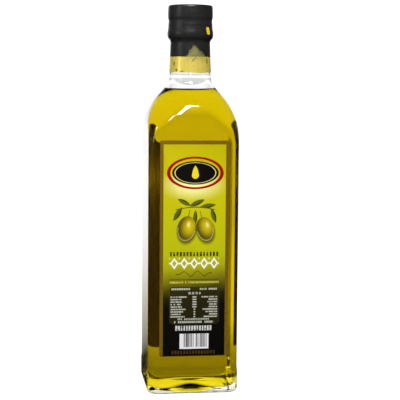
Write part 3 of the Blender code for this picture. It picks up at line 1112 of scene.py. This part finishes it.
def ink_small_print(sheet):
    """Rows of plain dashes, a panel of them, and a white box of upright bars."""
    x = sheet.x
    sheet.ink(sheet.box(-18.5, 18.3, 85.7, 86.2) * 0.85, srgb(70, 60, 6))
    panel = sheet.box_gap(-18.1, 18.6, 53.0, 80.6, 2.6)
    sheet.ink(inked(panel, 0.4) * 0.8, srgb(44, 40, 12))
    sheet.ink(rule(panel, 0.25) * 0.35, srgb(110, 92, 20))
    sheet.ink_dashes(FRONT_DASHES)
    line, within = sheet.lines(57.4, 1.84, 0.50)
    within = within * sheet.box(-17.6, 17.7, 57.6, 74.0)
    ragged = sheet.finish.chance(line, 7.0)
    left = (x < -10.4 + 6.0 * ragged) * (x > -17.4)
    right = (x > 12.4 - 8.5 * ragged) * (x < 17.4)
    middle = inked(abs(x - 0.4) - 0.6 - 0.9 * (line > 3.5))
    columns = left.most(right) * sheet.specks(1.6, line, 3.7).rise(0.36, 0.46) + middle
    sheet.ink(columns.held() * within * 0.72, PALE)
    sheet.ink(sheet.box(-10.5, 11.1, 34.2, 45.6), srgb(240, 240, 240))
    cell = ((x + 10.5) / BAR_WIDTH).floor()
    bars = (sheet.finish.chance(cell, 11.0) > 0.42) * (0.5 + 0.45 * sheet.finish.chance(cell, 12.0))
    sheet.ink(bars * sheet.box(-7.8, 9.6, 35.6, 45.6), srgb(30, 30, 30))


def ink_back_print(sheet):
    """The back sheet: a plain band, and columns of dashes over the same ground."""
    x = sheet.x
    sheet.ink(sheet.box(-18.5, 18.5, 166.0, 178.0, 3.0) * 0.95, srgb(18, 16, 10))
    sheet.ink(rule(sheet.box_gap(-17.3, 17.3, 167.2, 176.8, 2.2), 0.4), srgb(226, 206, 90))
    line, within = sheet.lines(112.0, 3.1, 0.62)
    text = within * (x > -18.0) * (x < 18.0 - 12.0 * sheet.finish.chance(line, 22.0))
    text = text * sheet.specks(1.1, line, 3.7).rise(0.34, 0.44)
    sheet.ink(text * sheet.box(-18.5, 18.5, 112.0, 161.0) * 0.85, srgb(48, 42, 8))
    panel = sheet.box_gap(-18.1, 18.1, 52.0, 104.0, 2.6)
    sheet.ink(inked(panel, 0.4) * 0.85, srgb(30, 27, 9))
    sheet.ink(rule(panel, 0.3) * 0.6, srgb(140, 116, 24))
    line, within = sheet.lines(56.0, 3.4, 0.62)
    columns = ((x > -16.0) * (x < -2.0)).most((x > 5.0) * (x < 16.0))
    table = columns * within * sheet.specks(1.2, line, 5.3).rise(0.36, 0.46)
    sheet.ink(table * sheet.box(-17.0, 17.0, 56.0, 100.0) * 0.75, PALE)
    sheet.ink_dashes(BACK_DASHES)


PRINTED_AREA = (-22.95, 22.95, 28.95, 185.4)
# Height of a painted glow on the back of the sheet, for light shining through the pale print
PAINTED_GLOW_HEIGHT = 160.0


def label_finish(name, front):
    """The printed sheet: satin varnish over ink outside, dull paper towards the glass with painted light
    on it.
    """
    finish = Finish(name, IOR=1.5, Specular_IOR_Level=0.1)
    place = finish.place()
    across, depth, up = finish.axes(place)
    facing = 1.0 if front else -1.0
    lower = 0.0 if front else FRONT_LABEL_BOTTOM - BACK_LABEL_BOTTOM
    z = (up + lower) * MILLIMETRES
    sheet = Sheet(finish, across * (MILLIMETRES * facing), z)
    if front:
        ink_plaque(sheet)
        ink_sprig(sheet)
        ink_lozenges(sheet)
        ink_small_print(sheet)
    else:
        ink_back_print(sheet)
    border = inked(-1.0 * sheet.box_gap(*PRINTED_AREA))
    sheet.ink(border, finish.blend(finish.grain(place, 500.0, 3.0), srgb(104, 80, 9), srgb(130, 99, 13)))
    printed = (depth * -facing).rise(HALF_SIDE - 0.00001, HALF_SIDE + 0.00003)
    fibres = finish.grain(place, 800.0, 3.0)
    # Painted light on the paper towards the glass: a pale glow where light shines through the print, and
    # lighter towards the bottom
    painted_glow = abs(z - PAINTED_GLOW_HEIGHT).soft_rise(20.0, 3.0)
    backing_with_painted_light = finish.blend(z.rise(150.0, 60.0), srgb(100, 104, 80), srgb(124, 122, 90))
    backing_with_painted_light = finish.blend(fibres * 0.3, backing_with_painted_light, srgb(130, 128, 100))
    backing_with_painted_light = finish.blend(painted_glow * 0.55, backing_with_painted_light, srgb(200, 204, 150))
    ripple = finish.grain(place, 55.0, 2.0)
    finish.paint(
        Base_Color=finish.blend(printed, backing_with_painted_light, sheet.color),
        Roughness=0.40 + 0.10 * (fibres - 0.5) + 0.06 * border,
        Normal=finish.bump(ripple + fibres * 0.02, 0.00010),
    )
    return finish.material


# Floor, light and camera


FLOOR_SIZE = 30.0
FLOOR_SEEN = grey(1.0)
FLOOR_MIRRORED = grey(0.02)
FLOOR_BOUNCE = grey(0.20)
# Glow of the floor by the distance in metres from the bottle's axis, through glass and in mirrors. Both
# are dimmer near the bottle as a painted shadow, and the mirrored one is yellow there as a painted glow
# of light through the oil.
FLOOR_THROUGH = (
    (0.06, grey(0.30)),
    (0.14, grey(0.50)),
    (0.25, grey(1.05)),
    (0.60, grey(1.05)),
    (1.10, grey(0.74)),
    (1.60, grey(0.79)),
)
FLOOR_GRAZED = (
    (0.05, (0.58, 0.55, 0.42)),
    (0.30, (0.82, 0.79, 0.68)),
    (0.55, (1.18, 1.16, 1.08)),
    (0.85, (1.40, 1.40, 1.34)),
    (1.30, grey(1.50)),
)


def floor_finish():
    """A pale floor that glows white to the camera, softer through glass and hardly in mirrors, with a
    painted shadow near the bottle.
    """
    finish = Finish("pale floor", Roughness=0.8, Specular_IOR_Level=0.0, Emission_Strength=1.0)
    place = finish.place()
    x, y, _ = finish.axes(place)
    distance = (x ** 2 + y ** 2) ** 0.5

    def by_distance(stops):
        reach = stops[-1][0]
        return finish.ramp(distance / reach, [(away / reach, glow) for away, glow in stops])

    camera, bounced = finish.rays("Camera"), finish.rays("Diffuse")
    # Painted shadow and painted yellow glow of the oil on the floor near the bottle, through glass and in
    # mirrors
    behind = (y / distance).rise(0.92, 0.99)
    glow = finish.blend(behind, FLOOR_MIRRORED, by_distance(FLOOR_GRAZED))
    glow = finish.blend(bounced, glow, FLOOR_BOUNCE)
    glow = finish.blend(finish.rays("Transmission"), glow, by_distance(FLOOR_THROUGH))
    pale = finish.blend(finish.grain(place, 3.0, 2.0), grey(0.50), grey(0.54))
    finish.paint(
        Emission_Color=finish.blend(camera, glow, FLOOR_SEEN),
        Base_Color=finish.blend(camera.most(bounced), grey(0.0), pale),
    )
    return finish.material


def make_floor():
    deselect_all()
    bpy.ops.mesh.primitive_plane_add(size=FLOOR_SIZE, location=(0, 0, -0.0001))
    floor = start_piece("floor")
    coat(floor, floor_finish())


# Brightness by the height of a direction, and by how far it points to the back
BACKDROP = ((0.0, grey(1.24)), (0.35, grey(1.20)), (0.85, grey(0.35)))
ROOM_UP = ((0.0, grey(1.10)), (0.30, grey(0.8)), (0.70, grey(0.10)))
ROOM_DEPTH = ((0.0, grey(0.02)), (0.50, grey(0.05)), (0.90, grey(0.10)), (0.985, grey(1.35)))


def make_world():
    """A pale room, dark behind the camera, with a white backdrop all round."""
    world = bpy.data.worlds.new("pale room")
    bpy.context.scene.world = world
    world.use_nodes = True
    nodes = Nodes(world.node_tree)
    _, y, z = nodes.axes(nodes.node("ShaderNodeTexCoord", output="Generated"))
    room = nodes.ramp(y * 0.5 + 0.5, ROOM_DEPTH) * nodes.ramp(z, ROOM_UP)
    seen = nodes.rays("Camera").most(nodes.rays("Transmission"))
    choice = nodes.node("ShaderNodeMix", (), {0: seen, 2: room, 3: nodes.ramp(z, BACKDROP)})
    background = nodes.tree.nodes["Background"]
    nodes.feed(background.inputs["Color"], grey(1.0))
    nodes.feed(background.inputs["Strength"], choice)


def make_light(name, azimuth, elevation, distance, width, height, power, aim, roll):
    """A soft box aimed at the bottle. Azimuth 0 is in front, and 90 is on the right."""
    a, e = math.radians(azimuth), math.radians(elevation)
    away = Vector((math.sin(a) * math.cos(e), -math.cos(a) * math.cos(e), math.sin(e)))
    data = bpy.data.lights.new(name, "AREA")
    data.shape = "RECTANGLE"
    data.size = width
    data.size_y = height
    data.energy = power
    light = bpy.data.objects.new(name, data)
    bpy.context.scene.collection.objects.link(light)
    light.location = Vector((0, 0, aim)) + away * distance
    facing = away.to_track_quat("Z", "Y").to_matrix() @ Matrix.Rotation(math.radians(roll), 3, "Z")
    light.rotation_euler = facing.to_euler()


# Name, azimuth, elevation, distance, width, height, watts, height aimed at, and roll
LIGHTS = (
    ("key box", -3.0, 50.0, 1.3, 0.28, 0.38, 19.5, 0.20, -35.0),
    ("small box", -31.0, 47.0, 1.3, 0.15, 0.14, 1.3, 0.20, 30.0),
    ("far box", -80.0, 38.0, 1.3, 0.10, 0.10, 0.6, 0.20, 20.0),
    ("left box", -68.0, 0.0, 1.1, 0.22, 0.36, 0.7, 0.42, 0.0),
)


CAMERA_DISTANCE = 0.900
CAMERA_TURN = math.radians(6.92)
CAMERA_HEIGHT = 0.232
CAMERA_PITCH = math.radians(5.17)
CAMERA_YAW = math.radians(0.52)
CAMERA_ROLL = math.radians(0.46)
FOCAL_PIXELS = 1191.1
PICTURE = 400
SENSOR = 36.0
SHIFT_UP = -0.03


def make_camera():
    """A camera slightly to the bottle's left, level with its neck and pitched down."""
    data = bpy.data.cameras.new("camera")
    data.sensor_width = SENSOR
    data.lens = FOCAL_PIXELS / PICTURE * SENSOR
    data.shift_y = SHIFT_UP
    data.clip_start = 0.01
    data.clip_end = 100.0
    camera = bpy.data.objects.new("camera", data)
    bpy.context.scene.collection.objects.link(camera)
    bpy.context.scene.camera = camera
    heading = CAMERA_TURN + CAMERA_YAW
    level = math.cos(CAMERA_PITCH)
    ahead = Vector((math.sin(heading) * level, math.cos(heading) * level, -math.sin(CAMERA_PITCH)))
    right = Vector((math.cos(heading), -math.sin(heading), 0))
    up = right.cross(ahead)
    c, s = math.cos(CAMERA_ROLL), math.sin(CAMERA_ROLL)
    right, up = right * c + up * s, up * c - right * s
    turn = Matrix((right, up, -ahead)).transposed().to_4x4()
    place = (
        -CAMERA_DISTANCE * math.sin(CAMERA_TURN),
        -CAMERA_DISTANCE * math.cos(CAMERA_TURN),
        CAMERA_HEIGHT,
    )
    camera.matrix_world = Matrix.Translation(place) @ turn


def join_frame(piece, node):
    """Ties a piece to the frame in place of a node."""
    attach(piece, "root")
    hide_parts(node)


make_camera()
dry = clear_glass("clear glass", GLASS_INDEX)
wetted = clear_glass("glass under oil", GLASS_INDEX / OIL_INDEX)
join_frame(make_glass(dry, wetted), "glass_bottle")
join_frame(make_oil(oil_liquid()), "olive_oil")
join_frame(make_film(film_finish(), film_inside()), "neck_capsule")
join_frame(make_tab(tab_finish()), "tear_tab")
front_print = label_finish("front print", True)
front = make_label("front_sheet", FRONT_LABEL_BOTTOM, FRONT_LABEL_HEIGHT, -1, front_print)
join_frame(front, "front_label")
back_print = label_finish("back print", False)
back = make_label("back_sheet", BACK_LABEL_BOTTOM, BACK_LABEL_HEIGHT, 1, back_print)
join_frame(back, "back_label")
make_floor()
make_world()
for light in LIGHTS:
    make_light(*light)
bpy.context.scene.view_settings.view_transform = "Standard"
